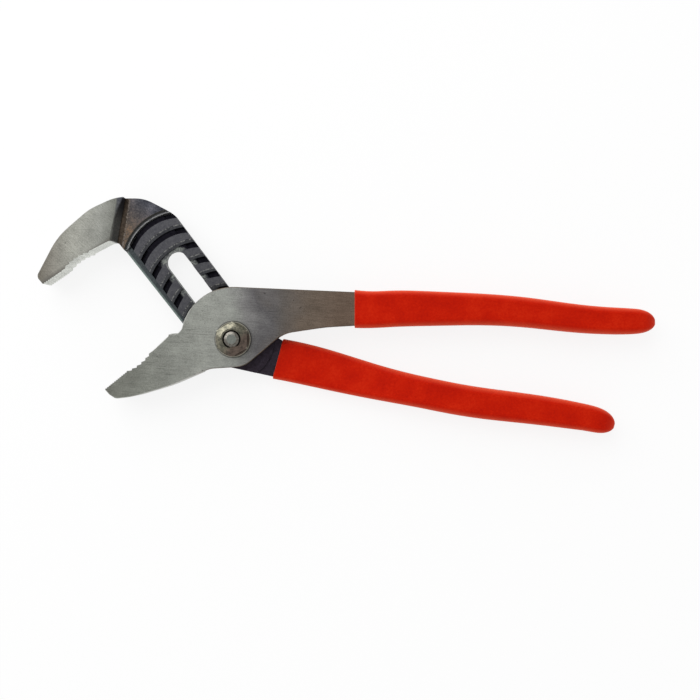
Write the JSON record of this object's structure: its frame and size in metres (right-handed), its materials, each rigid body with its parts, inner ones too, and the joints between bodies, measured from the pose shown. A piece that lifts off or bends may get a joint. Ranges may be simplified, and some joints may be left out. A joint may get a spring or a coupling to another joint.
{
  "type": "tongue and groove pliers",
  "caption": "Tongue and groove pliers: fixed-jaw lever and slotted grooved lever on a staked pivot bolt, with offset toothed jaws and dipped vinyl grips.",
  "frame": {"origin": "on the pivot axis, at the bolt head's flat back face", "axes": "+X from the jaws to the handles, +Y towards the upper jaw, +Z along the pivot axis towards the nut"},
  "size_m": [0.3388, 0.1297, 0.0232],
  "materials": {
    "forged_steel": "ground bright on the front plate and jaw faces, dark oxide on the grooved arm",
    "bolt_steel": "satin",
    "vinyl": "satin, dipped"
  },
  "bodies": {
    "fixed_lever": {"fixed_jaw_lever": "forged_steel", "upper_grip": "vinyl"},
    "pivot": {"pivot_bolt": "bolt_steel", "washer": "bolt_steel", "lock_nut": "bolt_steel"},
    "slotted_lever": {"slotted_jaw_lever": "forged_steel", "lower_grip": "vinyl"}
  },
  "joints": [
    {"name": "pivot_turn", "type": "hinge", "parent": "fixed_lever", "child": "pivot", "pos_m": [0, 0, 0], "axis": [0, 0, -1], "range_deg": [-7, 33]},
    {"name": "groove_shift", "type": "slide", "parent": "pivot", "child": "slotted_lever", "axis": [0.6, -0.8, 0], "range_m": [0, 0.0505]}
  ]
}
